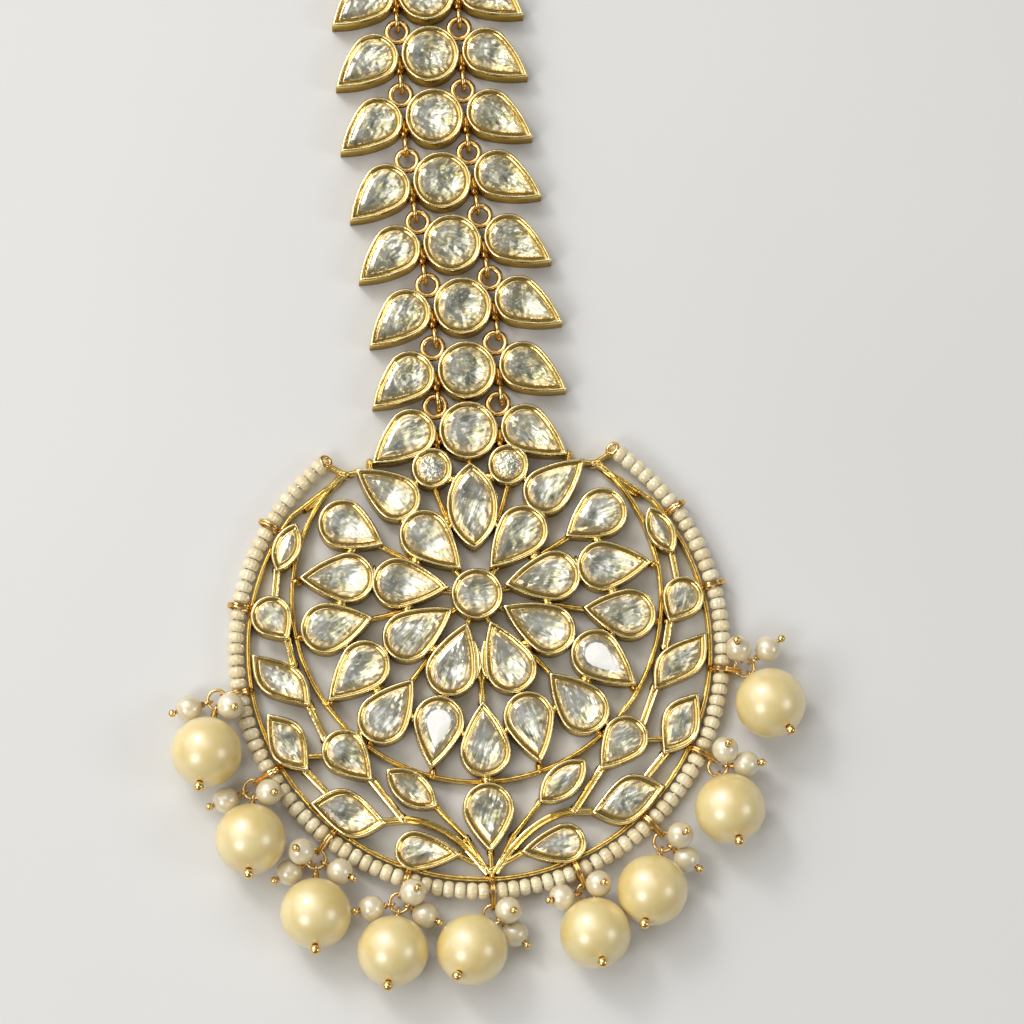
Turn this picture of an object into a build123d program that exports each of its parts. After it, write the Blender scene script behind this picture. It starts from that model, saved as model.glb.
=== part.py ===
from build123d import *
from collections import namedtuple
from math import acos, asin, atan2, cos, degrees, hypot, radians, sin, sqrt
import os

# Maang tikka, a bridal head ornament: a pierced round pendant of flat-cut stones in soldered
# bezels, a chain of three-stone links above it that ends in a hair hook, a string of seed beads
# round the pendant's rim, and nine drops of pearls on head pins.
# Millimetres and degrees. It lies on its back: the origin is the centre of the flower on the
# pendant's flat back, +Y runs up the chain to the hair hook, and +Z is the face.

# Bezels and stones
BEZEL_HEIGHT = 2.8
BEZEL_FLOOR = 0.6
LIP_WIDTH = 0.3
SLOPE_WIDTH = 0.35
SLOPE_DEPTH = 0.5
SEAT_HEIGHT = BEZEL_HEIGHT - SLOPE_DEPTH
SEAT_INSET = LIP_WIDTH + SLOPE_WIDTH
STONE_GAP = 0.05
GIRDLE_INSET = SEAT_INSET + STONE_GAP
CROWN_WIDTH = 0.5
CROWN_HEIGHT = 0.45
FLANK_CURVE = 1.5          # flank radius of a pear, in lengths
LEAF_SHOULDER = 0.06       # how far a leaf's control points stand from its middle, in lengths
LEAF_SWELL = 0.667         # height of those points, in widths
LEAF_TIP_INSET = 3.25      # length that a leaf loses for each unit of inset
ROUND_FACETS = 10

# Flower and pierced field
RIB_HEIGHT = 1.6
RIB_WIDTH = 0.6
STEM_WIDTH = 0.9
FIELD_RING_RADIUS = 21.2
FIELD_RING_Y = -0.3
JOINT_WIDTH = 0.9          # solder between the flower and the ring round it
JOINT_START = 20.2
RIM_RADIUS = 26.45
RIM_Y = -6.1
RIM_END = 52               # where the round part of the rim stops, from +Y
CORNER = (14.4, 14.75)     # where the rim meets the ring of the field

# Seed bead string and the wire loops that hold it
BEAD_DIAMETER = 1.9
BEAD_RADIUS = 27.85        # of the string's circle about the rim's centre
STRING_END = 37.3          # where the string starts, from +Y
LOOP_PITCH = 20.5
END_LOOP = 7               # loops each side of the lowest one
DROP_LOOPS = 4             # the loops each side of it that carry drops
LOOP_HEIGHT = 1.5
LOOP_RADIUS = 1.27
LOOP_WIRE = 0.22
LOOP_NOSE = 0.55           # radius of the outer end of a loop that carries a drop
LOOP_REACH = 1.6           # from the string to the centre of that end
END_RING_RADIUS = 0.65
END_RING_HEIGHT = 1.7

# Chain links
LINK_PEAR_X = 6.55
LINK_RING = (3.65, 3.1)
LINK_RING_RADIUS = 1.2
LINK_LOOP = (3.65, -3.15)
LINK_LOOP_RADIUS = 1.1
LINK_WIRE = 0.28
LINK_WIRE_HEIGHT = 1.45
WEB_SIZE = (1.3, 2.7)
WEB_Y = -0.85
TOP_ROW_Y = 19.1

# Pearl drops
DROP_RING_RADIUS = 1.1
DROP_WIRE = 0.2
EYE_RADIUS = 0.5
EYE_WIRE = 0.16
PIN_WIRE = 0.25
HOLE_RADIUS = 0.35
BIG_PEARL = 4.0
SMALL_PEARL = 1.5
SMALL_REACH = 2.3          # from a small pin's eye to its pearl's centre
BIG_BALL = 0.6
SMALL_BALL = 0.45

# Hair hook
HOOK_WIRE = 0.5
HOOK_HEIGHT = 0.55
HOOK_BAR = 4.2             # half the length of its cross bar
HOOK_BAR_Y = 0.85
HOOK_STEM_END = 6.5
HOOK_BEND = 3.5
HOOK_POINT = 6.0

Setting = namedtuple("Setting", "shape x y heading length width skew")
Place = namedtuple("Place", "x y turn")
Drop = namedtuple("Drop", "loop heading tilt reach pearl small")
Spoke = namedtuple("Spoke", "heading lift")


def gem(shape, x, y, heading, length, width, skew=0):
    """A setting: a pear's x, y is the centre of its round end, and it points along its heading."""
    return Setting(shape, x, y, heading, length, width, skew)


def mirrored(settings):
    """Each setting and its twin on the other side of the Y axis."""
    twins = [s._replace(x=-s.x, heading=180 - s.heading, skew=-s.skew) for s in settings]
    return settings + twins


def petal(angle, radius, tip_angle, tip_radius, width):
    """A pear of the flower by the polar places, from +Y, of its round end and its tip."""
    x, y = -radius * sin(radians(angle)), radius * cos(radians(angle))
    tip_x, tip_y = -tip_radius * sin(radians(tip_angle)), tip_radius * cos(radians(tip_angle))
    heading = degrees(atan2(tip_y - y, tip_x - x))
    return gem("pear", x, y, heading, hypot(tip_x - x, tip_y - y) + width / 2, width)


# The stones of the flower and of the leafy crescent, left half; pears by round end and tip
centre_setting = gem("round", 0, 0, 0, 6.0, 6.0)
marquise_setting = gem("marquise", 0, 10.25, 90, 10.2, 6.0)
inner_petals = mirrored([
    #     angle radius  tip angle radius width
    petal(38.3, 9.1, 29.0, 3.3, 5.9),
    petal(79.3, 9.2, 74.0, 3.25, 5.9),
    petal(119.2, 9.35, 118.0, 3.2, 5.9),
    petal(158.4, 9.4, 158.4, 3.4, 5.9),
])
outer_petals = mirrored([
    petal(36.6, 14.4, 41.1, 20.1, 5.5),
    petal(59.4, 17.35, 59.4, 12.1, 5.8),
    petal(80.0, 14.75, 82.1, 20.5, 5.9),
    petal(100.3, 17.7, 100.2, 12.15, 5.95),
    petal(120.0, 15.25, 123.1, 21.0, 5.9),
    petal(140.4, 18.0, 140.8, 12.2, 5.95),
    petal(160.4, 15.3, 162.6, 20.8, 5.9),
]) + [petal(180, 18.1, 180, 12.3, 5.9)]
accent_settings = mirrored([gem("round", -4.4, 14.85, 0, 4.8, 4.8)])
crescent_settings = mirrored([
    #   shape        x       y  heading length width skew
    gem("marquise", -21.5, 6.4, 65.9, 6.1, 3.3),
    gem("pear", -23.6, -1.45, -57, 5.8, 4.8),
    gem("leaf", -22.8, -8.9, -44.6, 9.1, 4.6, 0.12),
    gem("leaf", -22.4, -16.05, -57, 8.2, 4.7, -0.08),
    gem("pear", -16.05, -17.35, -49, 7.3, 5.2),
    gem("leaf", -15.9, -24.4, -17.3, 9.1, 5.3, -0.12),
    gem("marquise", -8.6, -21.95, -39.3, 7.2, 3.9),
    gem("pear", -8.6, -29.0, -8, 7.6, 4.6),
]) + [gem("pear", 0, -24.6, -90, 8.0, 5.9)]
link_settings = mirrored([gem("pear", -LINK_PEAR_X, 0, -144, 8.7, 5.7)]) + [
    gem("round", 0, 0, 0, 6.85, 6.85)]

# Ribs between the settings, left half: short runs of wire from one solder joint to the next
Rib = namedtuple("Rib", "x y end_x end_y width")
ribs = [
    Rib(-14.4, 14.75, -16.3, 15.9, RIB_WIDTH),
    Rib(-14.4, 14.75, -12.9, 15.0, RIB_WIDTH),
    Rib(-11.5, 15.9, -11.3, 14.4, RIB_WIDTH),
    Rib(-4.2, 12.6, -3.0, 8.9, RIB_WIDTH),
    Rib(-2.9, 8.6, -1.9, 7.7, RIB_WIDTH),
    Rib(-22.7, 4.0, -23.2, 0.4, STEM_WIDTH),
    Rib(-21.9, -4.1, -21.3, -7.0, STEM_WIDTH),
    Rib(-19.8, -11.7, -18.1, -15.8, STEM_WIDTH),
    Rib(-20.8, -17.6, -18.2, -17.6, RIB_WIDTH),
    Rib(-20.4, -19.4, -17.8, -22.3, STEM_WIDTH),
    Rib(-13.0, -20.8, -9.8, -25.2, STEM_WIDTH),
    Rib(-5.9, -24.1, -2.6, -27.9, RIB_WIDTH),
    Rib(-2.6, -27.9, -0.6, -31.4, RIB_WIDTH),
    Rib(-3.6, -29.7, 0.0, -31.6, RIB_WIDTH),
]
middle_ribs = [
    Rib(0, 14.8, 0, 16.2, RIB_WIDTH),
    Rib(0, -8.2, 0, -12.6, 1.2),
    Rib(0, -29.5, 0, -32.4, RIB_WIDTH),
]
# The long stem under the leaves, from the lower leaf to the foot of the pattern
long_stem = [(-12.1, -25.45), (-9.0, -25.4), (-6.5, -26.15), (-4.2, -27.6), (-2.35, -29.4), (-0.4, -31.9)]

# The chain, from the pendant up: each link's round stone and its turn on the cloth
links = [
    Place(0.2, 26.2, 2.5),
    Place(0.1, 33.8, 4.5),
    Place(-0.7, 41.35, 3.5),
    Place(-1.5, 48.9, 5.0),
    Place(-2.0, 56.6, 2.0),
    Place(-2.1, 64.2, 1.0),
    Place(-2.2, 71.7, 1.0),
]
hook_place = Place(-2.25, 76.1, 1.0)

# The drops, from the left: loop, heading and tilt of the ring, reach of the big pin, heading of
# the big pearl, and the heading and lift of each small one
drops = [
    Drop(-4, 205, 0, 5.8, 257, [Spoke(195, 10), Spoke(325, 72)]),
    Drop(-3, 235, 0, 5.4, 265, [Spoke(200, 10), Spoke(340, 70)]),
    Drop(-2, 245, 0, 5.8, 267, [Spoke(205, 10), Spoke(328, 30), Spoke(155, 72)]),
    Drop(-1, 255, 0, 5.2, 259, [Spoke(189, 20), Spoke(330, 22), Spoke(32, 72)]),
    Drop(0, 265, -15, 4.8, 230, [Spoke(318, 28), Spoke(26, 70)]),
    Drop(1, 285, -15, 4.8, 275, [Spoke(182, 36), Spoke(50, 72)]),
    Drop(2, 290, 0, 5.4, 252, [Spoke(318, 20), Spoke(16, 72)]),
    Drop(3, 300, 0, 4.8, 279, [Spoke(0, 28), Spoke(66, 72)]),
    Drop(4, 20, 0, 4.8, 298, [Spoke(34, 14), Spoke(112, 66)]),
]


def polar(centre, radius, angle):
    """Point on a circle, the angle in radians."""
    return centre[0] + radius * cos(angle), centre[1] + radius * sin(angle)


def arc_about(centre, radius, start, end):
    """Arc of a circle from one angle to another, in radians."""
    return ThreePointArc(
        polar(centre, radius, start), polar(centre, radius, (start + end) / 2), polar(centre, radius, end))


def arc_stops(centre, radius, start, end, count):
    """Evenly spaced points inside an arc, its ends left out."""
    steps = [start + (end - start) * (i + 1) / (count + 1) for i in range(count)]
    return [polar(centre, radius, step) for step in steps]


def pear_arcs(setting, inset):
    """A pear's flank and round end as (centre, radius, start, end), the flank from tip to shoulder."""
    round_radius = setting.width / 2
    tip = setting.length - round_radius
    flank_radius = FLANK_CURVE * setting.length
    flank_x = (tip**2 - 2 * round_radius * flank_radius + round_radius**2) / (2 * tip)
    flank_y = -sqrt((flank_radius - round_radius) ** 2 - flank_x**2)
    shoulder = atan2(-flank_y, -flank_x)
    tip_angle = asin(-flank_y / (flank_radius - inset))
    flank = ((flank_x, flank_y), flank_radius - inset, tip_angle, shoulder)
    return flank, ((0, 0), round_radius - inset, shoulder, 2 * radians(180) - shoulder)


def pear_outline(setting, inset):
    (centre, radius, tip_angle, shoulder), round_end = pear_arcs(setting, inset)
    arc_about(centre, radius, tip_angle, shoulder)
    arc_about(*round_end)
    arc_about((centre[0], -centre[1]), radius, -shoulder, -tip_angle)


def pear_corners(setting, inset):
    (centre, radius, tip_angle, shoulder), round_end = pear_arcs(setting, inset)
    flank = [polar(centre, radius, tip_angle)] + arc_stops(centre, radius, tip_angle, shoulder, 1)
    lower_flank = arc_stops((centre[0], -centre[1]), radius, -shoulder, -tip_angle, 1)
    return flank + arc_stops(*round_end, 7) + lower_flank


def marquise_arc(setting, inset):
    """The upper side of a marquise as centre, radius, start and end."""
    radius = (setting.length**2 + setting.width**2) / (4 * setting.width)
    drop = radius - setting.width / 2
    start = asin(drop / (radius - inset))
    return (0, -drop), radius - inset, start, radians(180) - start


def marquise_outline(setting, inset):
    centre, radius, start, end = marquise_arc(setting, inset)
    arc_about(centre, radius, start, end)
    arc_about((0, -centre[1]), radius, start + radians(180), end + radians(180))


def marquise_corners(setting, inset):
    centre, radius, start, end = marquise_arc(setting, inset)
    upper = [polar(centre, radius, start)] + arc_stops(centre, radius, start, end, 4)
    return upper + [(-x, -y) for x, y in upper]


def leaf_controls(setting, inset):
    """Control points of a leaf's upper side, from its heading tip to its tail."""
    length = setting.length - LEAF_TIP_INSET * inset
    width = setting.width - 2 * inset
    middle = setting.skew * length
    shoulder = LEAF_SHOULDER * length
    swell = LEAF_SWELL * width
    return [
        Vector(length / 2, 0), Vector(middle + shoulder, swell),
        Vector(middle - shoulder, swell), Vector(-length / 2, 0)]


def leaf_outline(setting, inset):
    upper = leaf_controls(setting, inset)
    Bezier(*upper)
    Bezier(*[-point for point in upper])


def leaf_corners(setting, inset):
    tip, near, far, tail = leaf_controls(setting, inset)
    upper = []
    for step in range(5):
        t = step / 5
        u = 1 - t
        upper.append(tip * u**3 + near * (3 * u * u * t) + far * (3 * u * t * t) + tail * t**3)
    return upper + [-point for point in upper]


def round_outline(setting, inset):
    CenterArc((0, 0), setting.width / 2 - inset, 0, 360)


def round_corners(setting, inset):
    turns = [radians(360) * i / ROUND_FACETS for i in range(ROUND_FACETS)]
    return [polar((0, 0), setting.width / 2 - inset, turn) for turn in turns]


OUTLINES = {"pear": pear_outline, "marquise": marquise_outline, "leaf": leaf_outline, "round": round_outline}
CORNERS = {"pear": pear_corners, "marquise": marquise_corners, "leaf": leaf_corners, "round": round_corners}


def base_plane(place):
    """The back plane of a link or of the hook."""
    return Plane(origin=(place.x, place.y, 0), x_dir=(cos(radians(place.turn)), sin(radians(place.turn)), 0))


def setting_plane(base, setting, height):
    return base * Location((setting.x, setting.y, height), (0, 0, setting.heading))


def outline_face(base, setting, height=0, inset=0):
    """The area inside a setting's outline, at a height and drawn in by an inset."""
    with BuildSketch(setting_plane(base, setting, height)) as face:
        with BuildLine():
            OUTLINES[setting.shape](setting, inset)
        make_face()
    return face.sketch


def stone_face(base, setting, height, inset):
    """The cut outline of a stone at one height."""
    with BuildSketch(setting_plane(base, setting, height)) as face:
        with BuildLine():
            Polyline(*CORNERS[setting.shape](setting, inset), close=True)
        make_face()
    return face.sketch


def pocket(base, setting):
    """The space inside a bezel: a seat for the stone, and a slope from it up to the lip."""
    with BuildPart() as space:
        extrude(outline_face(base, setting, BEZEL_FLOOR, SEAT_INSET), amount=SEAT_HEIGHT - BEZEL_FLOOR)
        loft([
            outline_face(base, setting, SEAT_HEIGHT, SEAT_INSET).face(),
            outline_face(base, setting, BEZEL_HEIGHT, LIP_WIDTH).face()], ruled=True)
    return space.part


def stone(base, setting):
    """A flat-backed stone with an upright girdle, a ring of crown facets and a table."""
    with BuildPart() as cut:
        foot = BEZEL_FLOOR + STONE_GAP
        extrude(stone_face(base, setting, foot, GIRDLE_INSET), amount=SEAT_HEIGHT - foot)
        loft([
            stone_face(base, setting, SEAT_HEIGHT, GIRDLE_INSET).face(),
            stone_face(base, setting, SEAT_HEIGHT + CROWN_HEIGHT, GIRDLE_INSET + CROWN_WIDTH).face()],
            ruled=True)
    return cut.part


def wire_ring(plane, radius, wire):
    """A round ring of wire about the plane's origin, in the plane."""
    with BuildPart(plane) as ring:
        Torus(radius, wire)
    return ring.part


def link_rings(base):
    """The two rings that lie flat at the top of a link."""
    x, y = LINK_RING
    places = [Location((side * x, y, LINK_WIRE_HEIGHT)) for side in (-1, 1)]
    return [wire_ring(base * place, LINK_RING_RADIUS, LINK_WIRE) for place in places]


def link_loops(base):
    """The two upright loops at the foot of a link, which hold the rings of the next."""
    x, y = LINK_LOOP
    places = [Location((side * x, y, LINK_WIRE_HEIGHT), (0, 90, 0)) for side in (-1, 1)]
    return [wire_ring(base * place, LINK_LOOP_RADIUS, LINK_WIRE) for place in places]


def webs(base):
    """The solder plates that join a link's pears to its round bezel and carry its loops."""
    with BuildSketch(base * Location((0, WEB_Y, 0))) as plates:
        with Locations((-LINK_LOOP[0], 0), (LINK_LOOP[0], 0)):
            Rectangle(*WEB_SIZE)
    return extrude(plates.sketch, amount=RIB_HEIGHT)


def radial_plane(radius, turn, height):
    """Plane at a point of the rim, a turn from the lowest one: X outwards, Y up, Z along the rim."""
    outwards = Vector(sin(radians(turn)), -cos(radians(turn)), 0)
    origin = Vector(0, RIM_Y, height) + outwards * radius
    return Plane(origin=origin, x_dir=outwards, z_dir=outwards.cross(Vector(0, 0, 1)))


def nosed_loop(plane):
    """A loop drawn out to a narrow nose, which a drop's ring hangs in."""
    lean = acos((LOOP_RADIUS - LOOP_NOSE) / LOOP_REACH)
    with BuildLine(plane) as path:
        back = arc_about((0, 0), LOOP_RADIUS, lean, 2 * radians(180) - lean)
        nose = arc_about((LOOP_REACH, 0), LOOP_NOSE, -lean, lean)
        Line(back @ 1, nose @ 0)
        Line(nose @ 1, back @ 0)
    run = path.wires()[0]
    with BuildPart() as loop:
        with BuildSketch(Plane(run ^ 0)):
            Circle(LOOP_WIRE)
        sweep(path=run)
    return loop.part


def rim_loop(step):
    """The wire loop round the bead string, a number of steps from the lowest one."""
    plane = radial_plane(BEAD_RADIUS, step * LOOP_PITCH, LOOP_HEIGHT)
    if abs(step) <= DROP_LOOPS:
        return nosed_loop(plane)
    return wire_ring(plane, LOOP_RADIUS, LOOP_WIRE)


def end_ring(side):
    """The small ring at an end of the bead string."""
    turn = side * END_LOOP * LOOP_PITCH
    return wire_ring(radial_plane(BEAD_RADIUS, turn, END_RING_HEIGHT), END_RING_RADIUS, LOOP_WIRE)


def drop_plane(drop):
    """The plane of a drop's ring: X along the ring's heading from the loop it hangs in."""
    hang = radial_plane(BEAD_RADIUS + LOOP_REACH, drop.loop * LOOP_PITCH, LOOP_HEIGHT).origin
    heading, tilt = radians(drop.heading), radians(drop.tilt)
    x_dir = Vector(cos(heading) * cos(tilt), sin(heading) * cos(tilt), sin(tilt))
    across = Vector(-sin(heading), cos(heading), 0)
    return Plane(origin=hang + x_dir * DROP_RING_RADIUS, x_dir=x_dir, z_dir=x_dir.cross(across))


def pin_plane(drop, spoke):
    """A head pin's plane: origin in its eye on the drop's ring, Z down the shank."""
    ring = drop_plane(drop)
    turn, lift = radians(spoke.heading - drop.heading), radians(spoke.lift)
    outwards = ring.x_dir * cos(turn) + ring.y_dir * sin(turn)
    along_ring = ring.y_dir * cos(turn) - ring.x_dir * sin(turn)
    shank = outwards * cos(lift) + ring.z_dir * sin(lift)
    return Plane(origin=ring.origin + outwards * DROP_RING_RADIUS, x_dir=along_ring, z_dir=shank)


def big_spoke(drop):
    """The big pearl's spoke, lifted so that the pearl's centre is its own radius above the floor."""
    ring = drop_plane(drop)
    turn = radians(drop.pearl - drop.heading)
    outwards = ring.x_dir * cos(turn) + ring.y_dir * sin(turn)
    eye_height = ring.origin.Z + outwards.Z * DROP_RING_RADIUS
    rise = (BIG_PEARL - eye_height) / drop.reach
    lift = asin(rise / hypot(outwards.Z, ring.z_dir.Z)) - atan2(outwards.Z, ring.z_dir.Z)
    return Spoke(drop.pearl, degrees(lift))


def pearl(plane, reach, radius):
    """A round pearl drilled along its pin."""
    with BuildPart(plane.offset(reach)) as bead:
        Sphere(radius)
        Hole(HOLE_RADIUS)
    return bead.part


def head_pin(plane, end, ball):
    """A wire pin with a round eye at the plane's origin and a ball that keeps its pearl on."""
    with BuildPart(plane) as pin:
        Torus(EYE_RADIUS, EYE_WIRE, rotation=(0, 90, 0))
        with BuildSketch(plane.offset(EYE_RADIUS)):
            Circle(PIN_WIRE)
        extrude(amount=end - EYE_RADIUS)
        with Locations((0, 0, end)):
            Sphere(ball)
    return pin.part


# Pendant frame
top_row = base_plane(Place(0, TOP_ROW_Y, 0))
row_settings = [(top_row, setting) for setting in link_settings]
field_settings = [centre_setting, marquise_setting]
field_settings += inner_petals + outer_petals + accent_settings + crescent_settings
seated = [(Plane.XY, setting) for setting in field_settings] + row_settings

with BuildSketch() as bezel_area:
    for base, setting in seated:
        add(outline_face(base, setting))

with BuildLine() as ring_lines:
    corner_turn = atan2(CORNER[0], CORNER[1] - FIELD_RING_Y)
    arc_about((0, FIELD_RING_Y), FIELD_RING_RADIUS, radians(90) + corner_turn, radians(450) - corner_turn)
    rim = arc_about((0, RIM_Y), RIM_RADIUS, radians(90 + RIM_END), radians(450 - RIM_END))
    Line(rim @ 0, (-CORNER[0], CORNER[1]))
    Line(rim @ 1, CORNER)

with BuildLine() as petal_ribs:
    for angle in (60, 100, 140, 220, 260, 300):
        turn = radians(90 + angle)
        Line(polar((0, 0), 8.9, turn), polar((0, 0), 12.6, turn))
    for setting in inner_petals:
        turn = atan2(setting.y, setting.x)
        Line(polar((0, 0), 2.8, turn), polar((0, 0), 4.2, turn))

with BuildLine() as ring_joints:
    for angle in (82, 100, 123, 141, 163, 180, 197, 219, 237, 260, 278):
        turn = radians(90 + angle)
        Line(polar((0, 0), JOINT_START, turn), polar((0, FIELD_RING_Y), FIELD_RING_RADIUS, turn))

with BuildSketch() as rib_area:
    add(trace(ring_lines.line, line_width=RIB_WIDTH))
    add(trace(petal_ribs.line, line_width=RIB_WIDTH))
    add(trace(ring_joints.line, line_width=JOINT_WIDTH))
    for rib in ribs + [rib._replace(x=-rib.x, end_x=-rib.end_x) for rib in ribs] + middle_ribs:
        with BuildLine() as run:
            Line((rib.x, rib.y), (rib.end_x, rib.end_y))
        add(trace(run.line, line_width=rib.width))
    for side in (-1, 1):
        with BuildLine() as run:
            Spline(*[(-side * x, y) for x, y in long_stem])
        add(trace(run.line, line_width=STEM_WIDTH))

row_metal = [webs(top_row)] + link_rings(top_row)
rim_loops = [rim_loop(step) for step in range(1 - END_LOOP, END_LOOP)]
end_rings = [end_ring(side) for side in (-1, 1)]
pockets = [pocket(base, setting) for base, setting in seated]

with BuildPart() as pendant_frame:
    extrude(bezel_area.sketch, amount=BEZEL_HEIGHT)
    extrude(rib_area.sketch, amount=RIB_HEIGHT)
    add(row_metal + rim_loops + end_rings)
    add(pockets, mode=Mode.SUBTRACT)
pendant_frame.part.label = "pendant_frame"
os.makedirs("parts", exist_ok=True)
export_step(pendant_frame.part, "parts/pendant_frame.step")

# The stones of the pendant, a field of them to a node
stone_fields = {
    "centre_stone": [(Plane.XY, centre_setting)],
    "marquise_stone": [(Plane.XY, marquise_setting)],
    "inner_petal_stones": [(Plane.XY, setting) for setting in inner_petals],
    "outer_petal_stones": [(Plane.XY, setting) for setting in outer_petals],
    "accent_stones": [(Plane.XY, setting) for setting in accent_settings],
    "crescent_stones": [(Plane.XY, setting) for setting in crescent_settings],
    "top_row_stones": row_settings,
}
for name, seats in stone_fields.items():
    cut_stones = [stone(base, setting) for base, setting in seats]
    with BuildPart() as stones:
        add(cut_stones)
    stones.part.label = name
    export_step(stones.part, f"parts/{name}.step")

# The chain: each link's metal and its three stones
for number, place in enumerate(links, 1):
    base = base_plane(place)
    link_metal = [webs(base)] + link_rings(base) + link_loops(base)
    link_pockets = [pocket(base, setting) for setting in link_settings]
    with BuildPart() as link:
        for setting in link_settings:
            extrude(outline_face(base, setting), amount=BEZEL_HEIGHT)
        add(link_metal)
        add(link_pockets, mode=Mode.SUBTRACT)
    link.part.label = f"link_{number}"
    export_step(link.part, f"parts/link_{number}.step")

    cut_stones = [stone(base, setting) for setting in link_settings]
    with BuildPart() as link_stones:
        add(cut_stones)
    link_stones.part.label = f"link_stones_{number}"
    export_step(link_stones.part, f"parts/link_stones_{number}.step")

# The hair hook: two loops in the last link's rings, a cross bar, and a bend lying flat
hook = base_plane(hook_place)
hook_loops = [
    wire_ring(hook * Location((x, 0, LINK_WIRE_HEIGHT), (0, 90, 0)), LINK_LOOP_RADIUS, LINK_WIRE)
    for x in (-LINK_LOOP[0], LINK_LOOP[0])]
hook_wire_plane = hook.offset(HOOK_HEIGHT)
with BuildPart() as hair_hook:
    with BuildLine(hook_wire_plane) as bar:
        Line((-HOOK_BAR, HOOK_BAR_Y), (HOOK_BAR, HOOK_BAR_Y))
    with BuildSketch(Plane(bar.wires()[0] ^ 0)):
        Circle(HOOK_WIRE)
    sweep(path=bar.wires()[0])
    with BuildLine(hook_wire_plane) as bend:
        stem = Line((0, HOOK_BAR_Y), (0, HOOK_STEM_END))
        crook = ThreePointArc(
            stem @ 1, (HOOK_BEND, HOOK_STEM_END + HOOK_BEND), (2 * HOOK_BEND, HOOK_STEM_END))
        Line(crook @ 1, (2 * HOOK_BEND, HOOK_STEM_END - HOOK_POINT))
    with BuildSketch(Plane(bend.wires()[0] ^ 0)):
        Circle(HOOK_WIRE)
    sweep(path=bend.wires()[0])
    with Locations(hook_wire_plane * Location((2 * HOOK_BEND, HOOK_STEM_END - HOOK_POINT, 0))):
        Sphere(HOOK_WIRE)
    add(hook_loops)
hair_hook.part.label = "hair_hook"
export_step(hair_hook.part, "parts/hair_hook.step")

# The seed bead string round the rim, as a tube
with BuildPart() as seed_bead_string:
    with BuildLine(Plane.XY.offset(LOOP_HEIGHT)) as string_line:
        arc_about((0, RIM_Y), BEAD_RADIUS, radians(90 + STRING_END), radians(450 - STRING_END))
    with BuildSketch(Plane(string_line.wires()[0] ^ 0)):
        Circle(BEAD_DIAMETER / 2)
    sweep(path=string_line.wires()[0])
seed_bead_string.part.label = "seed_bead_string"
export_step(seed_bead_string.part, "parts/seed_bead_string.step")

# The drops: a ring in each nosed loop, a big pearl on its pin, and two or three small ones
small_planes = []
for number, drop in enumerate(drops, 1):
    ring = wire_ring(drop_plane(drop), DROP_RING_RADIUS, DROP_WIRE)
    ring.label = f"drop_ring_{number}"
    export_step(ring, f"parts/drop_ring_{number}.step")

    plane = pin_plane(drop, big_spoke(drop))
    big_pearl = pearl(plane, drop.reach, BIG_PEARL)
    big_pearl.label = f"big_pearl_{number}"
    export_step(big_pearl, f"parts/big_pearl_{number}.step")

    pin = head_pin(plane, drop.reach + BIG_PEARL + BIG_BALL + STONE_GAP, BIG_BALL)
    pin.label = f"pearl_pin_{number}"
    export_step(pin, f"parts/pearl_pin_{number}.step")
    small_planes += [pin_plane(drop, spoke) for spoke in drop.small]

small_beads = [pearl(plane, SMALL_REACH, SMALL_PEARL) for plane in small_planes]
with BuildPart() as small_pearls:
    add(small_beads)
small_pearls.part.label = "small_pearls"
export_step(small_pearls.part, "parts/small_pearls.step")

small_end = SMALL_REACH + SMALL_PEARL + SMALL_BALL + STONE_GAP
small_wires = [head_pin(plane, small_end, SMALL_BALL) for plane in small_planes]
with BuildPart() as small_pins:
    add(small_wires)
small_pins.part.label = "small_pins"
export_step(small_pins.part, "parts/small_pins.step")
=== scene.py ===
from collections import namedtuple
from itertools import combinations
from math import acos, asin, atan2, cos, degrees, hypot, pi, radians, sin, sqrt

import bmesh
import bpy
import numpy as np
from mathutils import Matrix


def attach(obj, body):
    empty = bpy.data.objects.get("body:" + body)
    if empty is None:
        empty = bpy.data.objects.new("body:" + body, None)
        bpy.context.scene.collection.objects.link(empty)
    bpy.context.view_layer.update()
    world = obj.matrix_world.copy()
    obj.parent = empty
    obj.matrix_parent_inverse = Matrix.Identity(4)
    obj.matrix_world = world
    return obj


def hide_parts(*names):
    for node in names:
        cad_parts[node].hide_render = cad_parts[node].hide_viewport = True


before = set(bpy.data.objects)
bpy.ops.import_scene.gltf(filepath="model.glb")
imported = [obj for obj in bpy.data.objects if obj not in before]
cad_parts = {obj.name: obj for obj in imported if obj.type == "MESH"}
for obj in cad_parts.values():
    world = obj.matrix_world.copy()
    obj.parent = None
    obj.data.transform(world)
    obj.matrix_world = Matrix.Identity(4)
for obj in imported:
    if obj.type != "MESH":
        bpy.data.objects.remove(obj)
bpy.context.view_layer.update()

MM = 0.001
rng = np.random.default_rng(11)

# Bezels and stones
FLANK_CURVE = 1.5  # radius of a pear's flank, in its lengths
LEAF_SHOULDER = 0.06  # where a leaf's curve swells, in its lengths and widths
LEAF_SWELL = 0.667
LEAF_TIP_INSET = 3.25  # length that a leaf loses with each unit of inset
FLANK_POINTS = 12  # points along a pear's flank
END_POINTS = 28  # points round its round end
HALF_POINTS = 26  # points along half of a marquise or leaf
ROUND_POINTS = 50  # points round a round setting
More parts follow.
